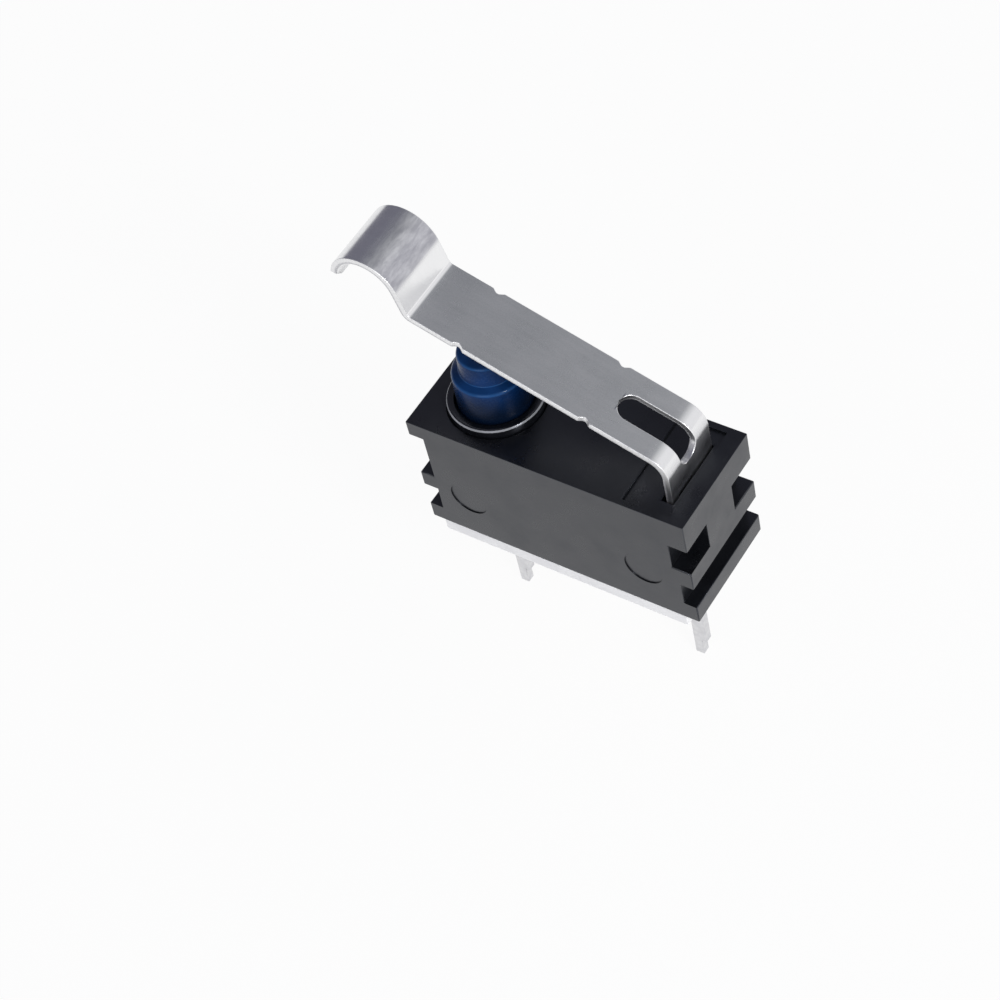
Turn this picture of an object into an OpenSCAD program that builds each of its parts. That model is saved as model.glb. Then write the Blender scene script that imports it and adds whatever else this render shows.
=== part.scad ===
/* [Case] */
// Length of the case over its end tabs
case_l = 13.3; // [13:0.1:15]
// Width of the case between its side faces
case_w = 5.3; // [5.2:0.1:6.5]
// Height of the black case above the pale base
case_h = 6.4; // [6.2:0.1:7.4]
// Wall at the sides and ends of the case
case_wall = 0.6; // [0.45:0.05:0.65]
// Roof of the case
case_roof = 0.8; // [0.65:0.05:0.9]

/* [End tabs] */
// Depth of the notches at the plunger end
notch_d = 0.7; // [0.4:0.05:0.8]
// Height of the tab under the top edge
tab_top_h = 0.85; // [0.6:0.05:1.1]
// Height of the upper notch
notch_top_h = 2.5; // [2:0.05:2.7]
// Height of the tab between the notches
tab_mid_h = 0.85; // [0.6:0.05:1]
// Height of the lower notch
notch_low_h = 1.3; // [1:0.05:1.5]
// Height of the block above the corner pockets
block_h = 1.6; // [1.4:0.05:1.7]
// Height of the corner pockets
pocket_h = 1.5; // [1.3:0.05:1.6]
// Depth of the corner pockets along the case
pocket_d = 0.9; // [0.8:0.05:1]
// Width of the corner pockets across the case
pocket_w = 1.6; // [1.5:0.05:1.8]
// Height of the ledge under the pockets
ledge_h = 1.05; // [0.9:0.05:1.2]
// Height of the groove across the hinge end
groove_h = 1.25; // [1:0.05:1.4]
// Depth of the groove across the hinge end
groove_d = 0.6; // [0.3:0.05:0.7]

/* [Side posts] */
// Distance of each post from its end of the case
post_in = 2.35; // [2.15:0.05:2.8]
// Depth of the post's axis below the top of the case
post_drop = 4; // [3.6:0.05:4.4]
// Radius of the posts
post_r = 0.85; // [0.6:0.05:1]
// Length of the posts
post_l = 0.65; // [0.4:0.05:1]
// Radius of the round marks opposite the posts
mark_r = 0.9; // [0.8:0.05:1]
// Depth of the round marks
mark_d = 0.05; // [0.03:0.01:0.1]

/* [Base] */
// Visible height of the pale base
base_h = 0.6; // [0.5:0.05:0.8]
// How far the base stays inside each end of the case
base_inset = 0.6; // [0.3:0.05:0.7]
// Height of the plug that the base has inside the case
plug_h = 1.1; // [1:0.05:1.2]
// Gap round moulded pieces that are pushed together
fit_gap = 0.03; // [0.02:0.01:0.05]
// Thickness of the cast seal under the base
seal_t = 0.3; // [0.2:0.05:0.4]
// Rim that the base keeps round the seal
seal_rim = 0.5; // [0.4:0.05:0.8]
// Height of the spigot that centres the spring
spigot_h = 0.55; // [0.3:0.05:0.8]
// Gap between the spigot and the spring
spigot_gap = 0.15; // [0.1:0.01:0.3]

/* [Terminals] */
// Distance of each pin from its end of the case
pin_in = 2.05; // [1.95:0.05:2.15]
// Length of the pins below the base
pin_l = 6.2; // [4:0.1:8]
// Width of the pins along the case
pin_w = 0.65; // [0.5:0.05:0.7]
// Thickness of the pins across the case
pin_t = 0.4; // [0.3:0.05:0.5]
// Length of the narrow end of the pins
pin_tip_l = 1; // [0.6:0.1:1.5]
// Width of the narrow end of the pins
pin_tip_w = 0.42; // [0.3:0.02:0.5]
// Thickness of the strip inside the case
strip_t = 0.35; // [0.3:0.05:0.4]
// Width of the strip inside the case
strip_w = 1.6; // [1.4:0.05:1.8]

/* [Boot] */
// Distance of the plunger's axis from the plunger end of the case
boot_in = 2.95; // [2.9:0.05:3.2]
// Height of the boot's tip above the case
boot_h = 4.7; // [4.5:0.05:5.2]
// Wall of the boot
boot_t = 0.3; // [0.25:0.01:0.32]
// Radius of the flange that the ring holds down
boot_flange_r = 1.88; // [1.85:0.01:1.9]
// Thickness of that flange
boot_flange_t = 0.3; // [0.2:0.05:0.35]
// Radius of the lower tier
skirt_r = 1.62; // [1.5:0.01:1.64]
// Height of the lower tier's shoulder
skirt_h = 2.05; // [1.9:0.05:2.2]
// Radius of the upper tier
waist_r = 1.2; // [1.18:0.01:1.3]
// Height of the upper tier's shoulder
waist_h = 3.2; // [3.1:0.05:3.4]
// Radius of the nub
nub_r = 0.75; // [0.72:0.01:0.8]
// Rise of each sloping shoulder
shoulder = 0.2; // [0.1:0.02:0.25]
// Draft of each tier from foot to shoulder
draft = 0.06; // [0:0.01:0.08]

/* [Boot ring] */
// Outside radius of the ring
ring_r = 2.12; // [2.1:0.01:2.2]
// Height of the ring above the case
ring_h = 0.45; // [0.42:0.01:0.55]
// Depth of the ring's foot in the roof
ring_seat = 0.3; // [0.2:0.05:0.4]
// Reach of the ring's lip over the flange
ring_lip = 0.16; // [0.1:0.01:0.17]

/* [Plunger and spring] */
// Radius of the plunger's stem
stem_r = 0.78; // [0.72:0.01:0.8]
// Running gap of the stem in the roof
slide_gap = 0.05; // [0.03:0.01:0.08]
// Travel of the plunger
travel = 1.2; // [1:0.05:1.25]
// Radius of the plunger's flange
plate_r = 1.4; // [1.35:0.01:1.5]
// Thickness of the plunger's flange
plate_t = 0.5; // [0.4:0.05:0.55]
// Distance of the plunger's foot from the edge of its flange
foot_out = 0.2; // [0.18:0.01:0.3]
// Thickness of the plunger's foot
foot_t = 0.35; // [0.25:0.05:0.35]
// Rest gap between pieces that meet while they move
rest_gap = 0.05; // [0.04:0.01:0.07]
// Mean radius of the coil spring
coil_r = 0.95; // [0.9:0.01:1]
// Radius of the spring's wire
wire_r = 0.11; // [0.08:0.01:0.12]
// Turns of the spring
coil_turns = 6.5; // [5:0.5:8]

/* [Snap blade] */
// Distance of the blade's pivot from the common pin
pivot_in = 0.85; // [0.8:0.05:1]
// Height of the blade's pivot above the underside of the base
pivot_z = 3.98; // [3.9:0.02:4.02]
// Thickness of the blade
blade_t = 0.15; // [0.1:0.01:0.2]
// Width of the blade
blade_w = 2.2; // [2:0.05:2.4]
// Reach of the blade past the middle of the plunger's foot
blade_over = 0.3; // [0.2:0.02:0.35]
// Reach of the blade behind its pivot
blade_heel = 0.55; // [0.4:0.05:0.6]
// Width of the tab that keeps the blade on its pivot
key_w = 0.54; // [0.4:0.02:0.7]
// Gap that lets the blade tilt on that tab
key_gap = 0.15; // [0.12:0.01:0.2]
// Height of that tab above the blade
key_h = 0.3; // [0.2:0.05:0.4]
// Width of the bowed tongue in the blade
bow_w = 0.74; // [0.6:0.02:0.9]
// Inside radius of the bowed tongue
bow_r = 0.7; // [0.6:0.02:0.75]
// Gap between the contact and the bowed tongue
bow_gap = 0.3; // [0.25:0.05:0.4]
// Distance of the contacts from the pivot
contact_in = 3.1; // [2.9:0.05:3.3]
// Radius of the contact buttons
contact_r = 0.6; // [0.5:0.02:0.65]
// Thickness of the contact buttons
contact_t = 0.3; // [0.2:0.02:0.32]

/* [Lever] */
// Thickness of the lever's sheet
lever_t = 0.3; // [0.25:0.01:0.32]
// Width of the lever
lever_w = 3.2; // [3:0.05:3.3]
// Slope of the lever's plate at rest
lever_angle = 18.5; // [17:0.5:19]
// Distance of the lever's root from the hinge end of the case
root_in = 1.2; // [1.15:0.01:1.25]
// Depth of the hinge axis below the top of the case
hinge_drop = 1.7; // [1.65:0.01:1.8]
// Reach of the hooks from the root
hook_l = 0.75; // [0.6:0.05:0.9]
// Middle radius of the hooks
hook_r = 0.3; // [0.25:0.01:0.35]
// Middle radius of the bend above the root
bend_r = 0.95; // [0.8:0.05:1.1]
// Length of the flat plate
plate_l = 11.1; // [10.5:0.1:12]
// Middle radius of the crease
crease_r = 0.4; // [0.3:0.05:0.5]
// Slope of the rise behind the crease
rise_angle = 76; // [65:1:80]
// Length of the rise behind the crease
rise_l = 1.1; // [0.8:0.05:1.4]
// Middle radius of the rolled end
roll_r = 1.5; // [1.3:0.05:1.8]
// Cut across the corners of the rolled end
corner_cut = 0.35; // [0.2:0.05:0.5]
// Width of the long hole
hole_w = 1.2; // [1:0.05:1.3]
// Length of the long hole along the plate
hole_l = 2.3; // [2:0.1:3]
// Height of the hole's lower end above the case
hole_low = 0.85; // [0.7:0.05:1]
// Depth of the edge nicks
nick_d = 0.13; // [0.08:0.01:0.2]
// Length of the edge nicks
nick_l = 0.32; // [0.2:0.02:0.5]
// Distance of the first nick from the bend
nick_first = 3; // [2.5:0.1:3.5]
// Distance between the nicks
nick_pitch = 5.9; // [5:0.1:6.5]
// Depth of the shallow well round the root
well_d = 0.15; // [0.1:0.01:0.2]
// Reach of the well from the root towards the boot
well_l = 1.75; // [1:0.05:2]
// Reach of the well behind the slot
well_back = 0.25; // [0.1:0.05:0.4]
// Width of the well
well_w = 4.7; // [4:0.1:4.8]

/* [Hidden] */
$fn = 48;
// Overlap of cutting shapes past the faces they cut
past = 0.1;
// Steps of an arc for each quarter turn
arc_steps = 10;

half_l = case_l / 2;
half_w = case_w / 2;
case_top = base_h + case_h;
roof_z = case_top - case_roof;
plug_top = base_h + plug_h;
post_x = half_l - post_in;
pin_x = half_l - pin_in;
pivot_x = pin_x - pivot_in;

// Levels of the ends, counted down from the top of the case
notch_top_z = case_top - tab_top_h;
notch_low_z = notch_top_z - notch_top_h - tab_mid_h;
pocket_top_z = case_top - block_h;
pocket_low_z = pocket_top_z - pocket_h;
groove_top_z = pocket_low_z - ledge_h;

// Lever: root, pivot and swing
root_x = half_l - root_in;
hinge_x = root_x + hook_r;
hinge_z = case_top - hinge_drop;
hook_z = hinge_z - hook_r;
boot_x = -half_l + boot_in;
nub_z = case_top + boot_h - nub_r;
plate_dir = 180 - lever_angle;
rise_dir = 180 - rise_angle;
bend_dir = plate_dir - 90;
// Height of the plate's middle over the boot's axis, and of the bend that brings it there
plate_over_boot = nub_z + (nub_r + rest_gap + lever_t / 2) / cos(lever_angle);
bend_end_x = root_x - bend_r + bend_r * cos(bend_dir);
bend_end_z = plate_over_boot - (bend_end_x - boot_x) * tan(lever_angle);
bend_c = [root_x - bend_r, bend_end_z - bend_r * sin(bend_dir)];
crease_start = [bend_end_x, bend_end_z] + plate_l * [cos(plate_dir), sin(plate_dir)];
crease_c = crease_start + crease_r * [cos(bend_dir), sin(bend_dir)];
rise_start = crease_c + crease_r * [cos(rise_dir + 90), sin(rise_dir + 90)];
roll_start = rise_start + rise_l * [cos(rise_dir), sin(rise_dir)];
roll_c = roll_start + roll_r * [cos(rise_dir + 90), sin(rise_dir + 90)];
// Lever turn for the full travel: the nub's reach from the pivot, seen along the plate's normal
touch = [boot_x + nub_r * sin(lever_angle) - hinge_x, nub_z + nub_r * cos(lever_angle) - hinge_z];
lever_turn = travel * cos(lever_angle) / (touch[1] * sin(lever_angle) - touch[0] * cos(lever_angle)) * 180 / PI;
root_swing = hinge_drop * tan(lever_turn);
slot_low_x = root_x - lever_t / 2 - root_swing - rest_gap;
slot_high_x = root_x + lever_t / 2 + rest_gap;
slot_half_w = lever_w / 2 + rest_gap;
slot_low_z = hook_z - lever_t / 2 - rest_gap;
hook_low_y = half_w - pocket_w + rest_gap;

// Inside of the case
cavity_low_x = -half_l + notch_d + case_wall;
cavity_high_x = slot_low_x - case_wall;
sump_high_x = half_l - groove_d - case_wall;
cavity_half_w = half_w - case_wall;
sump_top_z = pocket_low_z - case_wall;

// Plunger, blade and contacts, one above the other
plunger_top_z = roof_z - rest_gap;
plunger_low_z = plunger_top_z - plate_t;
press_x = boot_x + plate_r + foot_out;
blade_low_z = pivot_z + strip_t / 2 + rest_gap;
blade_top_z = blade_low_z + blade_t;
blade_tip_x = press_x - blade_over;
blade_turn = travel / (pivot_x - press_x) * 180 / PI;
contact_x = pivot_x - contact_in;
moving_low_z = blade_low_z - contact_t;
contact_gap = (contact_in + contact_r) * sin(blade_turn);
fixed_top_z = moving_low_z - contact_gap - rest_gap;
fixed_low_z = fixed_top_z - contact_t;
buried_z = base_h + (plug_h - strip_t) / 2;
strip_z = plug_top + rest_gap;

// A box between two corners
module block(low, high) {
    translate(low) cube(high - low);
}

// A box that lies evenly to both sides of the middle plane
module bar(x0, x1, half_y, z0, z1) {
    block([x0, -half_y, z0], [x1, half_y, z1]);
}

// A shape drawn in length and height, given a width across the case
module across(width, from) {
    translate([0, from + width, 0]) rotate([90, 0, 0]) linear_extrude(width) children();
}

// Points of an arc about a centre, from one angle to another
function arc(c, r, a0, a1) =
    let (n = max(2, ceil(abs(a1 - a0) / 90 * arc_steps)))
    [for (i = [0:n]) c + r * [cos(a0 + (a1 - a0) * i / n), sin(a0 + (a1 - a0) * i / n)]];

function reversed(list) = [for (i = [len(list) - 1:-1:0]) list[i]];

// One side of the lever's sheet, offset to the left of the way from the root to the rolled end
function lever_side(o) = concat(
    [[root_x - o, hinge_z]],
    arc(bend_c, bend_r - o, 0, bend_dir),
    arc(crease_c, crease_r + o, plate_dir + 90, rise_dir + 90),
    arc(roll_c, roll_r - o, rise_dir - 90, 180));

// A hook: a quarter ring round the hinge axis, and a straight foot
module hook(width, from) {
    reach = hook_r + lever_t / 2;
    intersection() {
        translate([hinge_x, from, hinge_z]) rotate([-90, 0, 0]) difference() {
            cylinder(r = reach, h = width);
            translate([0, 0, -past]) cylinder(r = hook_r - lever_t / 2, h = width + 2 * past);
        }
        block([hinge_x - reach, from, hinge_z - reach], [hinge_x, from + width, hinge_z]);
    }
    block([hinge_x, from, hook_z - lever_t / 2], [root_x + hook_l, from + width, hook_z + lever_t / 2]);
}

module lever_hole() {
    // On the plate, cut square to it
    translate([bend_end_x, 0, bend_end_z]) rotate([0, lever_angle, 0]) {
        bar(-hole_l + hole_w / 2, past, hole_w / 2, -lever_t, lever_t);
        translate([-hole_l + hole_w / 2, 0, -lever_t]) cylinder(r = hole_w / 2, h = 2 * lever_t);
    }
    // Round the bend and into the root
    low_z = case_top + hole_low + hole_w / 2;
    bar(bend_c[0], root_x + lever_t, hole_w / 2, low_z, bend_end_z + lever_t);
    translate([bend_c[0], 0, low_z]) rotate([0, 90, 0]) cylinder(r = hole_w / 2, h = bend_r + lever_t);
}

module lever_nicks() {
    for (s = [nick_first, nick_first + nick_pitch], side = [-1, 1])
        translate([bend_end_x, side * lever_w / 2, bend_end_z]) rotate([0, lever_angle, 0])
            block([-s - nick_l / 2, -nick_d, -lever_t], [-s + nick_l / 2, nick_d, lever_t]);
}

module lever_corners() {
    for (side = [-1, 1])
        translate([roll_c[0] - roll_r, side * lever_w / 2, roll_c[1]]) rotate([45, 0, 0])
            bar(-lever_t, lever_t, corner_cut / sqrt(2), -corner_cut / sqrt(2), corner_cut / sqrt(2));
}

module lever() {
    color("silver") difference() {
        union() {
            across(lever_w, -lever_w / 2)
                polygon(concat(lever_side(lever_t / 2), reversed(lever_side(-lever_t / 2))));
            for (side = [-1, 1])
                hook(lever_w / 2 - hook_low_y, side > 0 ? hook_low_y : -lever_w / 2);
        }
        lever_hole();
        lever_nicks();
        lever_corners();
    }
}

module case_ends() {
    // Notches at the plunger end
    bar(-half_l - past, -half_l + notch_d, half_w + past, notch_top_z - notch_top_h, notch_top_z);
    bar(-half_l - past, -half_l + notch_d, half_w + past, notch_low_z - notch_low_h, notch_low_z);
    // Groove at the hinge end
    bar(half_l - groove_d, half_l + past, half_w + past, groove_top_z - groove_h, groove_top_z);
    // Corner pockets, and the windows that the hooks reach them through
    for (side = [0, 1]) mirror([0, side, 0]) {
        block([half_l - pocket_d, half_w - pocket_w, pocket_low_z], [half_l + past, half_w + past, pocket_top_z]);
        block([slot_low_x, half_w - pocket_w, slot_low_z], [half_l - pocket_d + past, slot_half_w, pocket_top_z]);
    }
}

module case() {
    color([0.12, 0.13, 0.16]) {
        difference() {
            bar(-half_l, half_l, half_w, base_h, case_top);
            case_ends();
            bar(cavity_low_x, cavity_high_x, cavity_half_w, base_h - past, roof_z);
            bar(cavity_low_x, sump_high_x, cavity_half_w, base_h - past, sump_top_z);
            bar(slot_low_x, slot_high_x, slot_half_w, slot_low_z, case_top + past);
            bar(root_x - well_l, slot_high_x + well_back, well_w / 2, case_top - well_d, case_top + past);
            translate([boot_x, 0, roof_z - past]) cylinder(r = stem_r + slide_gap, h = case_roof + 2 * past);
            translate([boot_x, 0, case_top - ring_seat]) ring_bore(ring_seat + past);
            for (side = [-1, 1])
                translate([side * post_x, -half_w - past, case_top - post_drop]) rotate([-90, 0, 0])
                    cylinder(r = mark_r, h = mark_d + past);
        }
        for (side = [-1, 1])
            translate([side * post_x, half_w, case_top - post_drop]) rotate([-90, 0, 0])
                cylinder(r = post_r, h = post_l);
    }
}

// Round groove in the roof for the foot of the boot ring
module ring_bore(depth) {
    difference() {
        cylinder(r = ring_r + fit_gap, h = depth);
        translate([0, 0, -past]) cylinder(r = boot_flange_r, h = depth + 2 * past);
    }
}

module boot_ring() {
    color([0.1, 0.1, 0.12]) translate([boot_x, 0, case_top]) rotate_extrude() polygon([
        [boot_flange_r + fit_gap, -ring_seat],
        [ring_r, -ring_seat],
        [ring_r, ring_h],
        [boot_flange_r - ring_lip, ring_h],
        [boot_flange_r - ring_lip, boot_flange_t + fit_gap],
        [boot_flange_r + fit_gap, boot_flange_t + fit_gap]]);
}

module boot() {
    nub_low = waist_h + shoulder;
    inner_nub_r = nub_r - boot_t;
    color([0.13, 0.3, 0.55]) translate([boot_x, 0, case_top]) rotate_extrude() polygon(concat(
        [[boot_flange_r, 0],
         [boot_flange_r, boot_flange_t],
         [skirt_r + draft, boot_flange_t],
         [skirt_r, skirt_h],
         [waist_r + draft, skirt_h + shoulder],
         [waist_r, waist_h],
         [nub_r, nub_low]],
        arc([0, boot_h - nub_r], nub_r, 0, 90),
        arc([0, boot_h - nub_r], inner_nub_r, 90, 0),
        [[inner_nub_r, nub_low - boot_t],
         [waist_r - boot_t, waist_h - boot_t],
         [waist_r + draft - boot_t, skirt_h + shoulder - boot_t],
         [skirt_r - boot_t, skirt_h - boot_t],
         [skirt_r + draft - boot_t, 0]]));
}

module plunger() {
    tip_r = nub_r - boot_t - rest_gap;
    stem_top = case_top + waist_h - 2 * boot_t;
    tip_top = case_top + boot_h - boot_t - rest_gap;
    color([0.9, 0.9, 0.86]) {
        translate([boot_x, 0, plunger_low_z]) cylinder(r = plate_r, h = plate_t);
        translate([boot_x, 0, plunger_low_z]) cylinder(r = stem_r, h = stem_top - plunger_low_z);
        translate([boot_x, 0, plunger_low_z]) cylinder(r = tip_r, h = tip_top - tip_r - plunger_low_z);
        translate([boot_x, 0, tip_top - tip_r]) sphere(r = tip_r);
        // Arm and foot that press the blade
        bar(boot_x, press_x + foot_t / 2, stem_r, plunger_low_z, plunger_top_z);
        bar(press_x - foot_t / 2, press_x + foot_t / 2, stem_r, blade_top_z + rest_gap, plunger_low_z + past);
    }
}

module return_spring() {
    steps = 14;
    sides = 8;
    low = plug_top + wire_r + fit_gap;
    rise = plunger_low_z - wire_r - fit_gap - low;
    count = floor(coil_turns * steps);
    ring = [for (i = [0:count], j = [0:sides - 1])
        let (a = i * 360 / steps, b = j * 360 / sides, r = coil_r + wire_r * cos(b))
        [boot_x + r * cos(a), r * sin(a), low + rise * i / count + wire_r * sin(b)]];
    skin = [for (i = [0:count - 1], j = [0:sides - 1])
        let (k = (j + 1) % sides)
        [i * sides + j, i * sides + k, (i + 1) * sides + k, (i + 1) * sides + j]];
    ends = [[for (j = [sides - 1:-1:0]) j], [for (j = [0:sides - 1]) count * sides + j]];
    color("silver") polyhedron(points = ring, faces = concat(skin, ends));
}

module pin(gap) {
    // The part of a pin that runs through the seal and the base, up to a given strip
    bar(-pin_w / 2 - gap, pin_w / 2 + gap, pin_t / 2 + gap, -past, strip_z + strip_t);
}

module pin_end() {
    bar(-pin_w / 2, pin_w / 2, pin_t / 2, -pin_l + pin_tip_l, 0);
    bar(-pin_w / 2, -pin_w / 2 + pin_tip_w, pin_t / 2, -pin_l, 0);
}

module contact_strip(gap) {
    // From the pin, through the base, to the post under the contacts
    post_low_x = contact_x - strip_t / 2;
    bar(-pin_x - pin_w / 2 - gap, contact_x + strip_t / 2 + gap, strip_w / 2 + gap, buried_z - gap,
        buried_z + strip_t + gap);
    bar(post_low_x - gap, post_low_x + strip_t + gap, strip_w / 2 + gap, buried_z, fixed_low_z);
    bar(-pin_x - pin_w / 2 - gap, -pin_x + pin_w / 2 + gap, pin_t / 2 + gap, -past, buried_z + strip_t);
}

module contact_terminal() {
    color([0.75, 0.74, 0.7]) {
        translate([-pin_x, 0, 0]) pin_end();
        contact_strip(0);
        bar(contact_x - contact_r, contact_x + contact_r, strip_w / 2, fixed_low_z - strip_t, fixed_low_z);
    }
}

module common_terminal() {
    riser_x = pivot_x - strip_t / 2;
    color([0.75, 0.74, 0.7]) {
        translate([pin_x, 0, 0]) {
            pin_end();
            pin(0);
        }
        bar(riser_x, pin_x + pin_w / 2, strip_w / 2, strip_z, strip_z + strip_t);
        bar(riser_x, riser_x + strip_t, strip_w / 2, strip_z, pivot_z);
        translate([pivot_x, -strip_w / 2, pivot_z]) rotate([-90, 0, 0]) cylinder(r = strip_t / 2, h = strip_w);
        // Tab that keeps the blade on its pivot
        bar(riser_x, riser_x + strip_t, key_w / 2, strip_z, blade_top_z + key_h);
    }
}

module base() {
    end_x = half_l - base_inset;
    seat_half_w = half_w - seal_rim;
    color([0.88, 0.88, 0.9]) {
        difference() {
            union() {
                bar(-end_x, end_x, half_w, 0, base_h);
                bar(cavity_low_x + fit_gap, sump_high_x - fit_gap, cavity_half_w - fit_gap, 0, plug_top);
            }
            bar(-end_x + seal_rim, end_x - seal_rim, seat_half_w, -past, seal_t);
            translate([pin_x, 0, 0]) pin(fit_gap);
            contact_strip(fit_gap);
        }
        // Spigot that centres the spring
        translate([boot_x, 0, plug_top - past]) cylinder(r = coil_r - wire_r - spigot_gap, h = past + spigot_h);
    }
}

module terminal_seal() {
    end_x = half_l - base_inset - seal_rim;
    color([0.8, 0.78, 0.7]) difference() {
        bar(-end_x, end_x, half_w - seal_rim, 0, seal_t);
        for (side = [-1, 1]) translate([side * pin_x, 0, 0]) pin(fit_gap);
    }
}

module snap_blade() {
    key_half_x = strip_t / 2 + key_gap;
    bow_x = contact_x + contact_r + bow_gap;
    bow_c = [bow_x + bow_r, blade_low_z];
    color([0.72, 0.5, 0.28]) {
        difference() {
            bar(blade_tip_x, pivot_x + blade_heel, blade_w / 2, blade_low_z, blade_top_z);
            bar(pivot_x - key_half_x, pivot_x + key_half_x, key_w / 2 + rest_gap, blade_low_z - past, blade_top_z + past);
            bar(bow_x, bow_x + 2 * bow_r, bow_w / 2 + rest_gap, blade_low_z - past, blade_top_z + past);
        }
        // Bowed tongue that makes the blade snap over
        across(bow_w, -bow_w / 2)
            polygon(concat(arc(bow_c, bow_r + blade_t, 180, 340), arc(bow_c, bow_r, 340, 180)));
    }
}

module moving_contact() {
    color("silver") translate([contact_x, 0, moving_low_z]) cylinder(r = contact_r, h = contact_t);
}

module fixed_contact() {
    color("silver") translate([contact_x, 0, fixed_low_z]) cylinder(r = contact_r, h = contact_t);
}

case();
base();
terminal_seal();
boot();
boot_ring();
lever();
plunger();
return_spring();
snap_blade();
moving_contact();
fixed_contact();
contact_terminal();
common_terminal();
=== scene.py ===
import math

import bmesh
import bpy
import numpy as np
from mathutils import Matrix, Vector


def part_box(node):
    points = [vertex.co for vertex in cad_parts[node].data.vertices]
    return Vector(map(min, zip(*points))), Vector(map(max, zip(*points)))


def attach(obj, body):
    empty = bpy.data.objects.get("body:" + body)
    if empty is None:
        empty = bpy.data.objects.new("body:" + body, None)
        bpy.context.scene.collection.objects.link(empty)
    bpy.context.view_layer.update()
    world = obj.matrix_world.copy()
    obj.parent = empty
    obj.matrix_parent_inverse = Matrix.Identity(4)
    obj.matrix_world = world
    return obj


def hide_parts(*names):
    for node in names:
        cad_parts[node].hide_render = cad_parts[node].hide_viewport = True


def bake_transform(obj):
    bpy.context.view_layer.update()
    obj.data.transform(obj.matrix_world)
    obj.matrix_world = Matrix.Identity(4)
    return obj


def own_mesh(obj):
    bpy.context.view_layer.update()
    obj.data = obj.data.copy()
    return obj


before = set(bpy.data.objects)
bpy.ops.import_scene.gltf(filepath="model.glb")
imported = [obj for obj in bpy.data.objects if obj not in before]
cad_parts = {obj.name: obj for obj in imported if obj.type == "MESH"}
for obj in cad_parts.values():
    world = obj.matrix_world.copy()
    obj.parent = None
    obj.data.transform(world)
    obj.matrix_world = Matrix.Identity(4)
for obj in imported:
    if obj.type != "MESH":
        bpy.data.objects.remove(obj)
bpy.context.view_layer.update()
mm = 0.001
print("frame loaded with", len(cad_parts), "nodes")


# sRGB to linear: c / 12.92 up to 0.04045, above it ((c + 0.055) / 1.055) to the power 2.4
def hexLinear(code):
    c = np.array([int(code[i:i + 2], 16) for i in (1, 3, 5)]) / 255
    return (*np.where(c <= 0.04045, c / 12.92, ((c + 0.055) / 1.055) ** 2.4).tolist(), 1.0)


# Object coordinates are metres, so a pattern of that many millimetres repeats 1000 / size times a metre
def patternScale(size):
    return 1000.0 / size


# Stops of a ramp that runs through hex colours
def colourStops(places, codes):
    return [(place, hexLinear(code)) for place, code in zip(places, codes)]


# Stops of a ramp over a length: (millimetres, share) becomes a grey of that share at millimetres / length
def shareStops(pairs, length):
    return [(place / length, (share, share, share, 1.0)) for place, share in pairs]


# Inputs of a range node: the span of a value, and the span that it becomes
def remap(value, span, result):
    return {"Value": value, "From Min": span[0], "From Max": span[1], "To Min": result[0], "To Max": result[1]}


# Adds a node: settings are its own properties, inputs are values or sockets to link, and stops are the places and
# colours of a ramp
def addNode(tree, kind, inputs=None, stops=None, **settings):
    node = tree.nodes.new(kind)
    for name, value in settings.items():
        setattr(node, name, value)
    for name, value in (inputs or {}).items():
        if isinstance(value, bpy.types.NodeSocket):
            tree.links.new(value, node.inputs[name])
        else:
            node.inputs[name].default_value = value
    if stops:
        while len(node.color_ramp.elements) < len(stops):
            node.color_ramp.elements.new(1.0)
        for element, (place, colour) in zip(node.color_ramp.elements, stops):
            element.position = place
            element.color = colour
    return node


def newMaterial(name):
    material = bpy.data.materials.new(name)
    material.use_nodes = True
    tree = material.node_tree
    return material, tree, tree.nodes["Principled BSDF"], addNode(tree, "ShaderNodeTexCoord").outputs["Object"]


# Closes a material: fixed values go on the shader's own sockets, colour, roughness and relief are linked;
# bump is the relief's strength and its depth in millimetres
def closeMaterial(tree, shader, colour, rough, relief, bump, fixed):
    raised = addNode(tree, "ShaderNodeBump", {"Height": relief, "Strength": bump[0], "Distance": bump[1] * mm})
    for name, value in fixed.items():
        shader.inputs[name].default_value = value
    for name, socket in (("Base Color", colour), ("Roughness", rough), ("Normal", raised.outputs["Normal"])):
        tree.links.new(socket, shader.inputs[name])


# Quads between two rows of point numbers: each joins two neighbours of the first row to those of the second
def stripFaces(first, second):
    return np.stack([first[:-1], first[1:], second[1:], second[:-1]], -1).reshape(-1, 4)


# Quads of a grid of nu by nv points; a wrapped one joins its last column to its first
def gridFaces(nu, nv, wrap=False):
    order = np.arange(nu * nv).reshape(nu, nv)
    if wrap:
        order = np.concatenate([order, order[:, :1]], 1)
    return stripFaces(order[:, :-1], order[:, 1:])


# A path whose corners (x, y, radius) are rounded: each corner gives way to an arc that touches both its sides,
# which starts radius / tan(half the corner's angle) before it
def roundedPath(corners, steps=6):
    corners = np.asarray(corners, float)
    p, r = corners[:, :2], corners[1:-1, 2:]
    a, b = p[:-2] - p[1:-1], p[2:] - p[1:-1]
    a /= np.linalg.norm(a, axis=1, keepdims=True)
    b /= np.linalg.norm(b, axis=1, keepdims=True)
    half = np.arccos(np.clip((a * b).sum(1, keepdims=True), -1, 1)) / 2
    centre = p[1:-1] + (a + b) / np.linalg.norm(a + b, axis=1, keepdims=True) * r / np.sin(half)
    t0 = p[1:-1] + a * r / np.tan(half) - centre
    t1 = p[1:-1] + b * r / np.tan(half) - centre
    turn = np.linspace(0, 1, steps)[None, :, None]
    sweep = (np.pi - 2 * half)[:, None, :]
    arc = (np.sin((1 - turn) * sweep) * t0[:, None] + np.sin(turn * sweep) * t1[:, None]) / np.sin(sweep)
    return np.concatenate([p[:1], (centre[:, None] + arc).reshape(-1, 2), p[-1:]])


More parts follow.
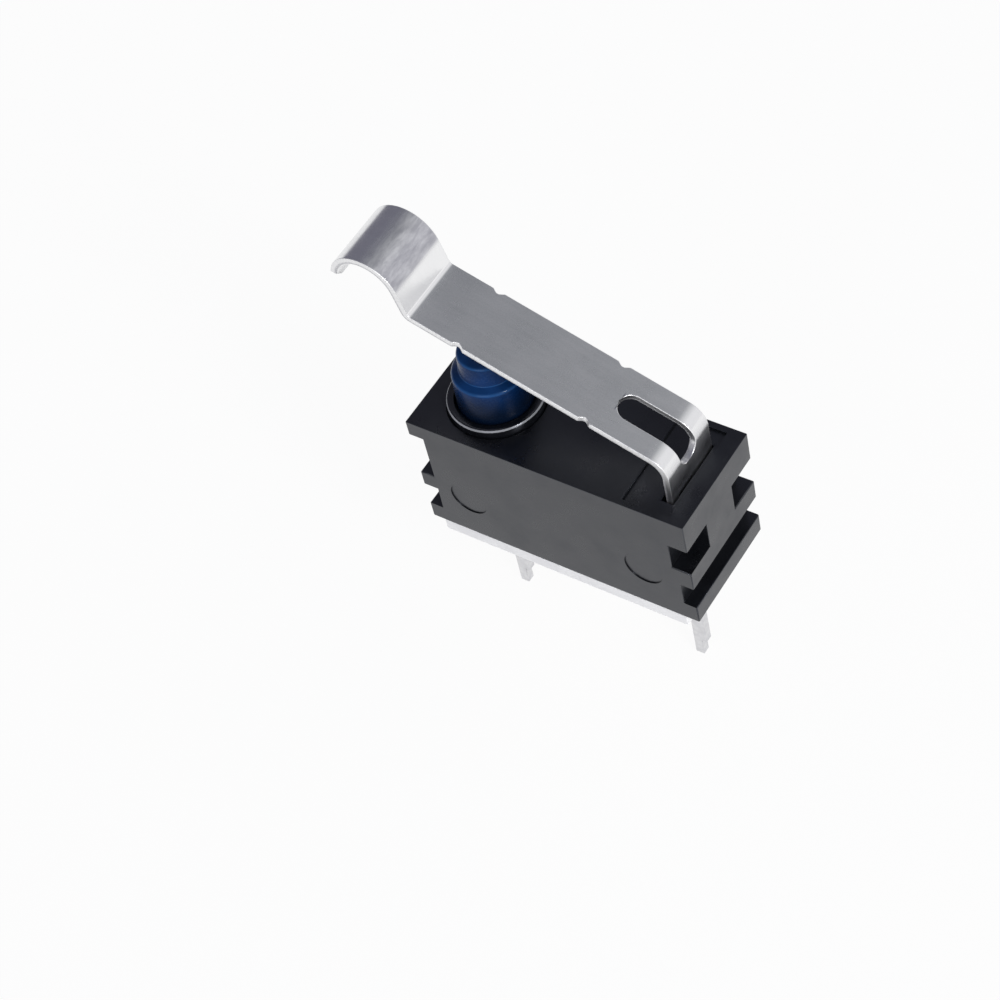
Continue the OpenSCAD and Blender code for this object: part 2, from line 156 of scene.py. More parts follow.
# Points of an arc: centre + radius (cos, sin) of evenly spaced angles in degrees
def arcPoints(centre, radius, fromAngle, toAngle, steps):
    a = np.radians(np.linspace(fromAngle, toAngle, steps))
    return np.asarray(centre) + radius * np.stack([np.cos(a), np.sin(a)], 1)


# Turns a profile of (radius, height) round an upright axis: x = axis + r cos a, y = r sin a, z = height
def revolved(profile, axisX, sides):
    a = np.linspace(0, 2 * np.pi, sides, endpoint=False)
    r, z = profile[:, :1], profile[:, 1:]
    points = np.stack([axisX + r * np.cos(a), r * np.sin(a), z + 0 * a], -1)
    return points.reshape(-1, 3), gridFaces(len(profile), sides, wrap=True)


# Merges doubles, drops faces without area, and turns the faces outwards, or for a CAD copy, whose faces point the
# right way already, joins coplanar triangles instead; edges past the sharp angle stay sharp
def closeMesh(mesh, sharp, flatten=False):
    work = bmesh.new()
    work.from_mesh(mesh)
    bmesh.ops.remove_doubles(work, verts=work.verts, dist=2e-7)
    bmesh.ops.dissolve_degenerate(work, edges=work.edges, dist=1e-8)
    if flatten:
        bmesh.ops.dissolve_limit(work, angle_limit=math.radians(0.5), verts=work.verts, edges=work.edges)
    else:
        bmesh.ops.recalc_face_normals(work, faces=work.faces)
    work.to_mesh(mesh)
    work.free()
    mesh.polygons.foreach_set("use_smooth", np.ones(len(mesh.polygons), bool))
    mesh.set_sharp_from_angle(angle=math.radians(sharp))


def newObject(name, data):
    item = bpy.data.objects.new(name, data)
    bpy.context.scene.collection.objects.link(item)
    return item


# Makes a mesh piece from points in millimetres
def makePiece(name, points, faces, materials, faceMaterial=None, flow=None, sharp=35, caps=()):
    mesh = bpy.data.meshes.new(name)
    allFaces = np.asarray(faces).tolist() + np.asarray(caps, int).tolist()
    mesh.from_pydata((np.asarray(points) * mm).tolist(), [], allFaces)
    for material in materials:
        mesh.materials.append(material)
    if faceMaterial is not None:
        mesh.polygons.foreach_set("material_index", np.asarray(faceMaterial, np.int32))
    if flow is not None:
        values = np.asarray(flow, np.float32).ravel()
        mesh.attributes.new("flow", "FLOAT_VECTOR", "POINT").data.foreach_set("vector", values)
    closeMesh(mesh, sharp)
    return newObject(name, mesh)


# A copy of a CAD node's mesh with its loose triangles merged into whole faces
def cadCopy(node, name, materials):
    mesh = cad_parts[node].data.copy()
    mesh.name = name
    if "custom_normal" in mesh.attributes:
        mesh.attributes.remove(mesh.attributes["custom_normal"])
    mesh.materials.clear()
    for material in materials:
        mesh.materials.append(material)
    mesh.polygons.foreach_set("material_index", np.zeros(len(mesh.polygons), np.int32))
    closeMesh(mesh, 35, flatten=True)
    return newObject(name, mesh)


def fetch(items, field, width, kind=np.float32):
    values = np.empty(len(items) * width, kind)
    items.foreach_get(field, values)
    return values.reshape(-1, width) if width > 1 else values


# An edge is an outer one if the second of its two faces lies behind the plane of the first:
# (middle2 - middle1) . normal1 < 0
def outerEdges(mesh):
    edgeOf = fetch(mesh.loops, "edge_index", 1, np.int32)
    faceOf = np.repeat(np.arange(len(mesh.polygons)), fetch(mesh.polygons, "loop_total", 1, np.int32))
    order = np.argsort(edgeOf, kind="stable")
    edges, first, count = np.unique(edgeOf[order], return_index=True, return_counts=True)
    edges, first = edges[count == 2], first[count == 2]
    a, b = faceOf[order][first], faceOf[order][first + 1]
    middle, normal = fetch(mesh.polygons, "center", 3), fetch(mesh.polygons, "normal", 3)
    outer = np.zeros(len(mesh.edges), bool)
    outer[edges] = ((middle[b] - middle[a]) * normal[a]).sum(1) < 0
    return outer


# Rounds the sharp outer edges, apart from those whose middle lies in a kept-sharp place (a test of x, y, z in
# millimetres); the rounded faces may take another material of the piece
def roundEdges(piece, width, material=-1, keepSharp=None):
    mesh = piece.data
    ends = fetch(mesh.edges, "vertices", 2, np.int32)
    places = fetch(mesh.vertices, "co", 3) / mm
    weight = fetch(mesh.attributes["sharp_edge"].data, "value", 1, bool) & outerEdges(mesh)
    if keepSharp:
        weight &= ~keepSharp(*places[ends].mean(1).T)
    mesh.attributes.new("bevel_weight_edge", "FLOAT", "EDGE").data.foreach_set("value", weight.astype(np.float32))
    bevel = piece.modifiers.new("edges", "BEVEL")
    bevel.width, bevel.segments = width * mm, 2
    bevel.limit_method = "WEIGHT"
    bevel.use_clamp_overlap = False
    bevel.harden_normals = True
    bevel.material = material


def seat(piece, body, slot, *nodes):
    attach(piece, body)
    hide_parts(*nodes)


# An object's matrix: its columns are its own right, up and back directions and its place
def placed(right, up, place):
    matrix = np.eye(4)
    matrix[:3] = np.column_stack([right, up, np.cross(right, up), place])
    return Matrix(matrix.tolist())


caseFinish = {
    # white and whiter are the pale greys of a painted highlight on the ring's rim
    "black": "#0b0c0f", "haze": "#121418", "rubbed": "#1c1f24", "white": "#7d7f83", "whiter": "#a6a8ac",
    "tint": "#f0f3ff", "ior": 1.6, "toneSpan": (0.3, 0.72), "glossSpan": (0.3, 0.7), "smoother": 0.06, "rougher": 0.09,
    "cloud": 1.5, "bump": (0.18, 0.003),
    "grain": 0.16,  # the real grain is about 0.03 mm, drawn coarser so that it shows
}


# Black PBT, injection moulded in a spark-eroded tool: near black, a dull sheen that turns grey at flat angles,
# faint clouds where the melt flowed, edges rubbed a little paler and smoother
def casePlastic(name, low, high, rough):
    material, tree, shader, spot = newMaterial(name)
    cloud = addNode(tree, "ShaderNodeTexNoise", {
        "Vector": spot, "Scale": patternScale(caseFinish["cloud"]), "Detail": 4.0, "Roughness": 0.6}).outputs["Fac"]
    grain = addNode(tree, "ShaderNodeTexNoise", {
        "Vector": spot, "Scale": patternScale(caseFinish["grain"]), "Detail": 2.0}).outputs["Fac"]
    colour = addNode(tree, "ShaderNodeValToRGB", {"Fac": cloud},
                     colourStops(caseFinish["toneSpan"], (caseFinish[low], caseFinish[high])))
    uneven = addNode(tree, "ShaderNodeMapRange", remap(
        cloud, caseFinish["glossSpan"], (rough - caseFinish["smoother"], rough + caseFinish["rougher"])))
    closeMaterial(tree, shader, colour.outputs["Color"], uneven.outputs["Result"], grain, caseFinish["bump"],
                  {"IOR": caseFinish["ior"], "Specular Tint": hexLinear(caseFinish["tint"])})
    return material


blackMoulded = casePlastic("pbtBlackMoulded", "black", "haze", rough=0.3)
blackRubbed = casePlastic("pbtBlackRubbedEdge", "haze", "rubbed", rough=0.27)
blackPolished = casePlastic("pbtBlackPolished", "black", "haze", rough=0.16)  # the ring, from a polished tool
blackRimHighlight = casePlastic("pbtBlackPaintedRimHighlight", "white", "whiter", rough=0.24)  # the ring's outer top edge, a painted highlight in pale grey

baseFinish = {
    "pale": "#f8f8f8", "shade": "#eeeeef", "toneSpan": (0.3, 0.6), "rough": (0.38, 0.52), "ior": 1.5,
    "cloud": 1.6, "grain": 0.08, "bump": (0.3, 0.004),
}


# White PBT, injection moulded: a cool milky white with a satin face and hardly any cloudiness
def basePlastic():
    material, tree, shader, spot = newMaterial("pbtWhiteMoulded")
    cloud = addNode(tree, "ShaderNodeTexNoise", {
        "Vector": spot, "Scale": patternScale(baseFinish["cloud"]), "Detail": 3.0}).outputs["Fac"]
    grain = addNode(tree, "ShaderNodeTexNoise", {
        "Vector": spot, "Scale": patternScale(baseFinish["grain"]), "Detail": 2.0}).outputs["Fac"]
    colour = addNode(tree, "ShaderNodeValToRGB", {"Fac": cloud},
                     colourStops(baseFinish["toneSpan"], (baseFinish["shade"], baseFinish["pale"])))
    uneven = addNode(tree, "ShaderNodeMapRange", remap(cloud, (0.0, 1.0), baseFinish["rough"]))
    closeMaterial(tree, shader, colour.outputs["Color"], uneven.outputs["Result"], grain, baseFinish["bump"],
                  {"IOR": baseFinish["ior"]})
    return material


whiteMoulded = basePlastic()

bootFinish = {
    # the fourth colour is the near-black of painted shade at the foot and in the nub, the third the paler blue of a
    # painted highlight on the shoulders
    "deep": "#05244c", "blue": "#0a3163", "glossAndHighlight": "#2f5f98", "thick": "#061122", "toneSpan": (0.35, 0.65),
    "rough": (0.22, 0.32), "polish": 0.0, "ior": 1.41, "specular": 0.15, "cloud": 1.1, "skin": 0.12,
    "bump": (0.05, 0.003), "height": 5.0,
    # heights in millimetres above the case, and how much painted shade darkens the boot there, at its foot and in its
    # nub
    "paintedShadeByHeight": [(0, 1), (0.8, 0.95), (1.4, 0.65), (1.95, 0.1), (2.1, 0), (3.4, 0), (3.9, 0.6), (5, 0.6)],
}


# Blue silicone rubber, compression moulded: deep satin blue, glossy on the rounded shoulders, with a painted highlight
# of paler blue there, and painted shade that turns it nearly black at the foot and in the solid nub
def bootRubber():
    material, tree, shader, spot = newMaterial("siliconeBlueMoulded")
    cloud = addNode(tree, "ShaderNodeTexNoise", {
        "Vector": spot, "Scale": patternScale(bootFinish["cloud"]), "Detail": 2.0}).outputs["Fac"]
    skin = addNode(tree, "ShaderNodeTexNoise", {
        "Vector": spot, "Scale": patternScale(bootFinish["skin"]), "Detail": 2.0}).outputs["Fac"]
    colour = addNode(tree, "ShaderNodeValToRGB", {"Fac": cloud},
                     colourStops(bootFinish["toneSpan"], (bootFinish["deep"], bootFinish["blue"])))
    flow = addNode(tree, "ShaderNodeAttribute", attribute_name="flow").outputs["Vector"]
    parts = addNode(tree, "ShaderNodeSeparateXYZ", {0: flow}).outputs
    share = addNode(tree, "ShaderNodeMath", {0: parts["Y"], 1: bootFinish["height"]}, operation="DIVIDE")
    dark = addNode(tree, "ShaderNodeValToRGB", {"Fac": share.outputs[0]},
                   shareStops(bootFinish["paintedShadeByHeight"], bootFinish["height"]))
    # painted shade: the near-black colour laid over the foot and the nub by height
    thick = addNode(tree, "ShaderNodeMix", {
        0: dark.outputs["Color"], 6: colour.outputs["Color"], 7: hexLinear(bootFinish["thick"])}, data_type="RGBA")
    # painted highlight: paler blue on the rounded shoulders
    glossAndHighlight = addNode(tree, "ShaderNodeMix", {
        0: parts["X"], 6: thick.outputs[2], 7: hexLinear(bootFinish["glossAndHighlight"])}, data_type="RGBA")
    uneven = addNode(tree, "ShaderNodeMapRange", remap(skin, (0.0, 1.0), bootFinish["rough"]))
    polished = addNode(tree, "ShaderNodeMix", {
        0: parts["X"], 2: uneven.outputs["Result"], 3: bootFinish["polish"]}, data_type="FLOAT")
    closeMaterial(tree, shader, glossAndHighlight.outputs[2], polished.outputs[0], skin, bootFinish["bump"],
                  {"IOR": bootFinish["ior"], "Specular IOR Level": bootFinish["specular"]})
    return material


blueSilicone = bootRubber()

leverFinish = {
    "steel": "#dcdcde", "dull": "#cecfd1", "toneSpan": (0.36, 0.62), "rough": (0.24, 0.34), "roughSpan": (0.3, 0.7),
    # the bright steel is a painted highlight on the burnished bends, and the flank tint is painted shade on the roll
    "bright": "#f0f0f1", "brightRough": (0.11, 0.24), "brightSpan": (0.35, 0.65),
    "worn": "#cacacf", "rubbed": "#efeff1", "wornSpan": (0.36, 0.64),
    "wornRough": (0.3, 0.44), "wornRoughSpan": (0.35, 0.65), "flank": "#d4d4d8",
    "grain": 0.05, "line": 0.35, "cloud": 1.4, "scuff": 0.2, "bump": (0.25, 0.003),
    "lineStretch": (0.12, 1.0, 1.0), "scuffStretch": (1.0, 0.25, 1.0), "length": 22.0,
    # places in millimetres along the strip, and how far the bending tool smoothed it with a painted highlight, how far
    # it is scuffed, and how far painted shade darkens the roll's flank there
    "burnishAndHighlight": [(0, 0), (3.95, 0), (4.35, 1), (4.7, 1), (5.3, 0), (15.95, 0), (16.15, 1), (17.5, 1), (17.7, 0),
                  (19.0, 0), (19.7, 0.6), (22, 0.6)],
    "scuffed": [(0, 0), (17.55, 0), (17.75, 1), (18.9, 1), (19.6, 0.3), (22, 0.3)],
    "rollFlankShade": [(0, 0), (17.55, 0), (17.75, 1), (18.4, 0.9), (19.2, 0), (22, 0)],
}


# Stainless spring strip, cold rolled: mid grey with a fine speckle, faint drawn-out streaks along the strip, cloudy
# changes of gloss from handling; smooth where the bending tool burnishes it, with a painted highlight of paler steel
# there, scuffed on the roll, whose flank painted shade darkens
def leverSteel():
    material, tree, shader, spot = newMaterial("stainlessColdRolled")
    flow = addNode(tree, "ShaderNodeAttribute", attribute_name="flow").outputs["Vector"]
    along = addNode(tree, "ShaderNodeSeparateXYZ", {0: flow}).outputs["X"]
    share = addNode(tree, "ShaderNodeMath", {0: along, 1: leverFinish["length"]}, operation="DIVIDE").outputs[0]
    burnishAndHighlight, scuffed, rollFlankShade = (
        addNode(tree, "ShaderNodeValToRGB", {"Fac": share}, shareStops(leverFinish[zone], leverFinish["length"]))
        .outputs["Color"] for zone in ("burnishAndHighlight", "scuffed", "rollFlankShade"))
    streak = addNode(tree, "ShaderNodeMapping", {"Vector": flow, "Scale": leverFinish["lineStretch"]})
    lines = addNode(tree, "ShaderNodeTexNoise", {
        "Vector": streak.outputs["Vector"], "Scale": 1.0 / leverFinish["line"],
        "Detail": 5.0, "Roughness": 0.65}).outputs["Fac"]
    wiped = addNode(tree, "ShaderNodeMapping", {"Vector": flow, "Scale": leverFinish["scuffStretch"]})
    scuff = addNode(tree, "ShaderNodeTexNoise", {
        "Vector": wiped.outputs["Vector"], "Scale": 1.0 / leverFinish["scuff"],
        "Detail": 5.0, "Roughness": 0.65, "Distortion": 0.3}).outputs["Fac"]
    speckle = addNode(tree, "ShaderNodeTexNoise", {
        "Vector": spot, "Scale": patternScale(leverFinish["grain"]), "Detail": 2.0}).outputs["Fac"]
    cloud = addNode(tree, "ShaderNodeTexNoise", {
        "Vector": spot, "Scale": patternScale(leverFinish["cloud"]), "Detail": 4.0}).outputs["Fac"]
    both = addNode(tree, "ShaderNodeMath", {0: lines, 1: speckle}, operation="ADD").outputs[0]
    halved = addNode(tree, "ShaderNodeMath", {0: both, 1: 0.5}, operation="MULTIPLY").outputs[0]
    plain = addNode(tree, "ShaderNodeValToRGB", {"Fac": halved},
                    colourStops(leverFinish["toneSpan"], (leverFinish["dull"], leverFinish["steel"])))
    worn = addNode(tree, "ShaderNodeValToRGB", {"Fac": scuff},
                   colourStops(leverFinish["wornSpan"], (leverFinish["worn"], leverFinish["rubbed"])))
    toned = addNode(tree, "ShaderNodeMix", {
        0: scuffed, 6: plain.outputs["Color"], 7: worn.outputs["Color"]}, data_type="RGBA")
    # painted shade: a grey tint darkens the flank of the roll
    flank = addNode(tree, "ShaderNodeMix", {
        0: rollFlankShade, 6: toned.outputs[2], 7: hexLinear(leverFinish["flank"])}, data_type="RGBA", blend_type="MULTIPLY")
    # painted highlight: paler steel over the burnished bends, which are also smoother
    highlightMix = addNode(tree, "ShaderNodeMix", {
        0: burnishAndHighlight, 6: flank.outputs[2], 7: hexLinear(leverFinish["bright"])}, data_type="RGBA")
    plainRough, wornRough, brightRough = (
        addNode(tree, "ShaderNodeMapRange", remap(value, leverFinish[span], leverFinish[rough])).outputs["Result"]
        for value, span, rough in ((cloud, "roughSpan", "rough"), (scuff, "wornRoughSpan", "wornRough"),
                                   (lines, "brightSpan", "brightRough")))
    rougher = addNode(tree, "ShaderNodeMix", {0: scuffed, 2: plainRough, 3: wornRough}, data_type="FLOAT")
    smoother = addNode(tree, "ShaderNodeMix", {0: burnishAndHighlight, 2: rougher.outputs[0], 3: brightRough}, data_type="FLOAT")
    closeMaterial(tree, shader, highlightMix.outputs[2], smoother.outputs[0], both, leverFinish["bump"], {"Metallic": 1.0})
    return material


edgeFinish = {
    "smooth": ("#dcdcde", "#f0f0f1"), "smoothSpan": (0.3, 0.6),
    "torn": ("#bebec2", "#dcdcde"), "tornSpan": (0.35, 0.65),
    "scratch": 0.05, "scratchStretch": (1.0, 1.0, 0.1), "tear": 0.06, "ragged": 0.06, "bump": (0.15, 0.004),
    # millimetres from the middle of the sheet over which the tear gives way to the cut, and the roughness on both
    "border": (-0.05, 0.01), "rough": (0.55, 0.36),
}


# The sheared edge of the strip: bright and smooth where the punch cut it, dull and torn over the lower third
def leverEdge():
    material, tree, shader, spot = newMaterial("stainlessSheared")
    flow = addNode(tree, "ShaderNodeAttribute", attribute_name="flow").outputs["Vector"]
    height = addNode(tree, "ShaderNodeSeparateXYZ", {0: flow}).outputs["Z"]
    upright = addNode(tree, "ShaderNodeMapping", {"Vector": flow, "Scale": edgeFinish["scratchStretch"]})
    scratch = addNode(tree, "ShaderNodeTexNoise", {
        "Vector": upright.outputs["Vector"], "Scale": 1.0 / edgeFinish["scratch"], "Detail": 2.0}).outputs["Fac"]
    tear = addNode(tree, "ShaderNodeTexNoise", {
        "Vector": spot, "Scale": patternScale(edgeFinish["tear"]), "Detail": 3.0}).outputs["Fac"]
    ragged = addNode(tree, "ShaderNodeMath", {0: tear, 1: edgeFinish["ragged"], 2: height}, operation="MULTIPLY_ADD")
    zone = addNode(tree, "ShaderNodeMapRange", remap(
        ragged.outputs[0], edgeFinish["border"], (0.0, 1.0))).outputs["Result"]
    smooth = addNode(tree, "ShaderNodeValToRGB", {"Fac": scratch},
                     colourStops(edgeFinish["smoothSpan"], edgeFinish["smooth"]))
    torn = addNode(tree, "ShaderNodeValToRGB", {"Fac": tear}, colourStops(edgeFinish["tornSpan"], edgeFinish["torn"]))
    colour = addNode(tree, "ShaderNodeMix", {
        0: zone, 6: torn.outputs["Color"], 7: smooth.outputs["Color"]}, data_type="RGBA")
    gloss = addNode(tree, "ShaderNodeMapRange", remap(zone, (0.0, 1.0), edgeFinish["rough"]))
    lift = addNode(tree, "ShaderNodeMix", {0: zone, 2: tear, 3: 0.5}, data_type="FLOAT")  # the cut stays level
    closeMaterial(tree, shader, colour.outputs[2], gloss.outputs["Result"], lift.outputs[0], edgeFinish["bump"],
                  {"Metallic": 1.0})
    return material


rolledSteel = leverSteel()
shearedSteel = leverEdge()

pinFinish = {
    "tin": "#dcdcde", "dull": "#cfcfd2", "toneSpan": (0.3, 0.7), "rough": (0.28, 0.38), "roughSpan": (0.2, 0.7),
    "spangle": 0.3, "grain": 0.05, "bump": (0.15, 0.003),
}


# Brass strip, hot-dip tinned: soft silver with dull crystal patches
def pinMetal():
    material, tree, shader, spot = newMaterial("brassHotTinned")
    spangle = addNode(tree, "ShaderNodeTexVoronoi", {"Vector": spot, "Scale": patternScale(pinFinish["spangle"])})
    grain = addNode(tree, "ShaderNodeTexNoise", {
        "Vector": spot, "Scale": patternScale(pinFinish["grain"]), "Detail": 3.0}).outputs["Fac"]
    mixed = addNode(tree, "ShaderNodeMix", {
        0: 0.5, 2: spangle.outputs["Distance"], 3: grain}, data_type="FLOAT").outputs[0]
    colour = addNode(tree, "ShaderNodeValToRGB", {"Fac": mixed},
                     colourStops(pinFinish["toneSpan"], (pinFinish["tin"], pinFinish["dull"])))
    uneven = addNode(tree, "ShaderNodeMapRange", remap(mixed, pinFinish["roughSpan"], pinFinish["rough"]))
    closeMaterial(tree, shader, colour.outputs["Color"], uneven.outputs["Result"], grain, pinFinish["bump"],
                  {"Metallic": 1.0})
    return material


tinnedBrass = pinMetal()

resinFinish = {
    "amber": "#a8935c", "pale": "#c9b98a", "toneSpan": (0.35, 0.7), "rough": (0.1, 0.24), "ior": 1.55,
    "cloud": 1.8, "bubble": 0.5, "pinhole": (0.06, 0.14), "bump": (0.6, 0.02),
}


# Epoxy resin, cast and cured: honey coloured, glassy, with a few pinholes where air left it
def sealEpoxy():
    material, tree, shader, spot = newMaterial("epoxyCast")
    cloud = addNode(tree, "ShaderNodeTexNoise", {
        "Vector": spot, "Scale": patternScale(resinFinish["cloud"]), "Detail": 2.0}).outputs["Fac"]
    bubble = addNode(tree, "ShaderNodeTexVoronoi", {"Vector": spot, "Scale": patternScale(resinFinish["bubble"])})
    hole = addNode(tree, "ShaderNodeMapRange", remap(
        bubble.outputs["Distance"], resinFinish["pinhole"], (0.0, 1.0)))
    colour = addNode(tree, "ShaderNodeValToRGB", {"Fac": cloud},
                     colourStops(resinFinish["toneSpan"], (resinFinish["amber"], resinFinish["pale"])))
    uneven = addNode(tree, "ShaderNodeMapRange", remap(cloud, (0.0, 1.0), resinFinish["rough"]))
    closeMaterial(tree, shader, colour.outputs["Color"], uneven.outputs["Result"], hole.outputs["Result"],
                  resinFinish["bump"], {"IOR": resinFinish["ior"]})
    return material


castResin = sealEpoxy()

plungerFinish = {
    "shade": "#c7c2b0", "pale": "#d8d4c4", "toneSpan": (0.3, 0.65), "rough": (0.26, 0.4), "ior": 1.48,
    "cloud": 0.9, "bump": (0.3, 0.004),
}


# Acetal, moulded without colour: waxy off-white, smooth from the tool
def plungerPlastic():
    material, tree, shader, spot = newMaterial("acetalNaturalMoulded")
    cloud = addNode(tree, "ShaderNodeTexNoise", {
        "Vector": spot, "Scale": patternScale(plungerFinish["cloud"]), "Detail": 3.0}).outputs["Fac"]
    colour = addNode(tree, "ShaderNodeValToRGB", {"Fac": cloud},
                     colourStops(plungerFinish["toneSpan"], (plungerFinish["shade"], plungerFinish["pale"])))
    uneven = addNode(tree, "ShaderNodeMapRange", remap(cloud, (0.0, 1.0), plungerFinish["rough"]))
    closeMaterial(tree, shader, colour.outputs["Color"], uneven.outputs["Result"], cloud, plungerFinish["bump"],
                  {"IOR": plungerFinish["ior"]})
    return material


naturalAcetal = plungerPlastic()

# Two tones, grain in millimetres, how far the grain is packed along x, y and z, and the roughness
wireFinish = {"tones": ("#8f8f92", "#b8b8ba"), "grain": 0.05, "stretch": (1.0, 1.0, 6.0), "rough": (0.2, 0.34)}
bladeFinish = {"tones": ("#a56a40", "#c98a5a"), "grain": 0.09, "stretch": (0.12, 1.0, 1.0), "rough": (0.22, 0.38)}
contactFinish = {"tones": ("#a9a498", "#d6d4cc"), "grain": 0.2, "stretch": (1.0, 1.0, 1.0), "rough": (0.24, 0.42)}
bareFinish = {"toneSpan": (0.3, 0.65), "roughSpan": (0.3, 0.7), "bump": (0.3, 0.003)}


# A bare metal of two tones with a rolled, drawn or coined grain: its lines change the colour and the gloss together
def bareMetal(name, finish):
    material, tree, shader, spot = newMaterial(name)
    drawn = addNode(tree, "ShaderNodeMapping", {"Vector": spot, "Scale": finish["stretch"]})
    lines = addNode(tree, "ShaderNodeTexNoise", {
        "Vector": drawn.outputs["Vector"], "Scale": patternScale(finish["grain"]),
        "Detail": 4.0, "Roughness": 0.6}).outputs["Fac"]
    colour = addNode(tree, "ShaderNodeValToRGB", {"Fac": lines}, colourStops(bareFinish["toneSpan"], finish["tones"]))
    uneven = addNode(tree, "ShaderNodeMapRange", remap(lines, bareFinish["roughSpan"], finish["rough"]))
    closeMaterial(tree, shader, colour.outputs["Color"], uneven.outputs["Result"], lines, bareFinish["bump"],
                  {"Metallic": 1.0})
    return material


drawnWire = bareMetal("stainlessDrawnWire", wireFinish)  # bright, lined round the coil
rolledCopper = bareMetal("copperAlloyRolled", bladeFinish)  # warm, lined along the blade
coinedSilver = bareMetal("silverAlloyCoined", contactFinish)  # pale, a little tarnished
print("materials made")


leverShape = {
    "thick": 0.3, "halfWidth": 1.6, "start": (6.2, 5.0), "heading": 180.0,
    # length, turn in degrees and samples of each stretch, from the hooks' feet to the rolled end; a bend's length is
    # its radius times its turn
    "stretches": [(0.45, 0, 6), (0.3 * math.pi / 2, -90, 14), (2.906, 0, 30), (0.95 * math.radians(71.5), 71.5, 34),
                  (11.1, 0, 90), (0.4 * math.radians(57.5), -57.5, 22), (1.1, 0, 10),
                  (1.5 * math.radians(166), 166, 80)],
    "hookGap": 1.1, "hookBlend": 0.015, "holeHalf": 0.6, "holeLow": 2.55, "holeHigh": 2.3, "holeSteps": 16,
    "nicks": (3.0, 8.9), "nickLength": 0.56, "nickDepth": 0.14, "nickSoftness": 1.3, "nickSteps": 17,
    "cornerCut": 0.35, "edge": 0.07, "rounding": 0.035, "rows": 6, "leastStep": 2e-3,
}


# The lever is a flat blank (s along it, y across it) carried along a bent path. The heading turns evenly over each
# stretch, a step of the path is its chord, and the sheet's two faces lie half its thickness to either side.
# Half the blank runs from inner(s), the hole's edge or the middle, to outer(s), the sheared side with its soft nicks,
# depth sin(0 to 180 degrees) to a power; the other half is its mirror
def buildLever(shape):
    lengths, turns, samples = zip(*shape["stretches"])
    knots = np.concatenate([[0], np.cumsum(lengths)])
    headings = np.radians(shape["heading"] + np.concatenate([[0], np.cumsum(turns)]))
    hookEnd, plateStart, end = knots[2], knots[4], knots[-1]
    hookTop = hookEnd + shape["hookBlend"]
    holeStart, holeEnd = hookEnd + shape["holeLow"], plateStart + shape["holeHigh"]
    half, cut, e = shape["holeHalf"], shape["cornerCut"], shape["edge"]
    roundIn = half * (1 - np.cos(np.linspace(0, np.pi / 2, shape["holeSteps"])))
    nickAt = plateStart + np.array(shape["nicks"])
    nickSteps = np.linspace(-0.5, 0.5, shape["nickSteps"]) * shape["nickLength"]
    dent = shape["nickDepth"] * np.sin(np.linspace(0, np.pi, shape["nickSteps"])) ** shape["nickSoftness"]
    s = np.unique(np.round(np.concatenate(
        [np.linspace(a, b, n) for a, b, n in zip(knots[:-1], knots[1:], samples)]
        + [holeStart + roundIn, holeEnd - roundIn, [hookEnd, hookTop, end - cut, end - cut / 2]]
        + [n + nickSteps for n in nickAt]), 6))
    s = s[np.concatenate([[True], np.diff(s) > shape["leastStep"]])]
    heading = np.interp(s, knots, headings)
    turn = np.diff(heading)
    midway = heading[:-1] + turn / 2
    chord = np.diff(s) * np.sinc(turn / (2 * np.pi))
    steps = chord[:, None] * np.stack([np.cos(midway), np.sin(midway)], 1)
    path = np.asarray(shape["start"]) + np.concatenate([[[0, 0]], np.cumsum(steps, 0)])
    normal = np.stack([np.sin(heading), -np.cos(heading)], 1)
    fromEnd = np.minimum(s - holeStart, holeEnd - s)
    openHalf = np.sqrt(np.clip(half ** 2 - np.clip(half - fromEnd, 0, None) ** 2, 0, None))
    inner = np.where(fromEnd > 0, openHalf, np.interp(s, [hookEnd, hookTop], [shape["hookGap"], 0]))
    nicked = sum(np.interp(s, n + nickSteps, dent, 0, 0) for n in nickAt)
    outer = shape["halfWidth"] - nicked - np.interp(s, [end - cut, end], [0, cut])
    across = np.concatenate([[0, 0], np.linspace(0, 1, shape["rows"])[1:-1], [1, 1]])
    y = (inner + e)[:, None] + (outer - inner - 2 * e)[:, None] * across
    y[:, 0], y[:, -1] = inner, outer
    grid = (2, 2, *y.shape)  # half, face, along, across
    lift = np.array([0.5, -0.5])[:, None, None] * shape["thick"]
    xz = path + lift * normal
    yy = np.broadcast_to(np.array([1, -1])[:, None, None, None] * y, grid)
    x, z = (np.broadcast_to(xz[:, :, None, i], grid) for i in (0, 1))
    points = np.stack([x, yy, z], -1)
    flow = np.stack([np.broadcast_to(s[:, None], grid), yy, np.broadcast_to(lift, grid)], -1)
    opened = (inner[:-1] > 0) | (inner[1:] > 0)
    faces, kinds = [], []
    for top, low in np.arange(yy.size).reshape(grid):
        sheet = [stripFaces(layer[:, :-1], layer[:, 1:]) for layer in (top, low)]
        sheared = [stripFaces(top[:, -1], low[:, -1]), stripFaces(top[:, 0], low[:, 0])[opened],
                   stripFaces(top[0], low[0]), stripFaces(top[-1], low[-1])]
        faces += sheet + sheared
        kinds += [np.zeros(len(part)) for part in sheet] + [np.ones(len(part)) for part in sheared]
    return points.reshape(-1, 3), np.concatenate(faces), np.concatenate(kinds), flow.reshape(-1, 3)


leverPoints, leverFaces, leverKinds, leverFlow = buildLever(leverShape)
lever = makePiece("leverStrip", leverPoints, leverFaces, [rolledSteel, shearedSteel], leverKinds, leverFlow, sharp=40)
roundEdges(lever, leverShape["rounding"], material=1)
seat(lever, "lever_arm", "stainless_sheet", "lever")
print("lever made:", len(lever.data.vertices), "points")


